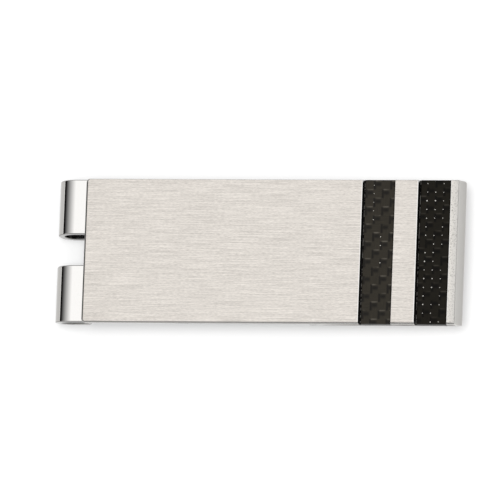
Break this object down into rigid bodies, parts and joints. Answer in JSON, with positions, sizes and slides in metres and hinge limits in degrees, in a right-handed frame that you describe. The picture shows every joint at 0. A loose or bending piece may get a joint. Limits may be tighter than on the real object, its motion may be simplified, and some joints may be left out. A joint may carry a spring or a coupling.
{
  "type": "money clip",
  "caption": "Money clip: brushed steel face plate with cross carbon-fibre inlays on a polished folded spring strip that pinches banknotes against the plate.",
  "frame": {"origin": "under the middle of the whole clip, on the flat underside of the lower leaf", "axes": "+X from the bend towards the free end, +Y across towards the rear edge, +Z out of the face"},
  "size_m": [0.054, 0.019, 0.0058],
  "materials": {
    "brushed_steel": "brushed lengthwise, edges finely broken",
    "carbon_fibre": "black carbon twill under clear resin",
    "adhesive": "cured black epoxy",
    "polished_steel": "mirror polished",
    "weld_metal": "ground flush"
  },
  "bodies": {
    "clip_body": {"face_plate": "brushed_steel", "inlay_inner": "carbon_fibre", "inlay_outer": "carbon_fibre", "adhesive_inner": "adhesive", "adhesive_outer": "adhesive", "upper_leaf": "polished_steel", "plug_welds": "weld_metal", "bend_strap_front": "polished_steel", "bend_strap_rear": "polished_steel"},
    "leaf": {"lower_leaf": "polished_steel"}
  },
  "joints": [
    {"name": "leaf_flex", "type": "hinge", "parent": "leaf", "child": "clip_body", "pos_m": [-0.02455, 0, 0.0025], "axis": [0, -1, 0], "range_deg": [0, 6], "stiffness_Nm_per_rad": 4, "springref_deg": -1.15, "deforming": ["bend_strap_front", "bend_strap_rear"]}
  ]
}
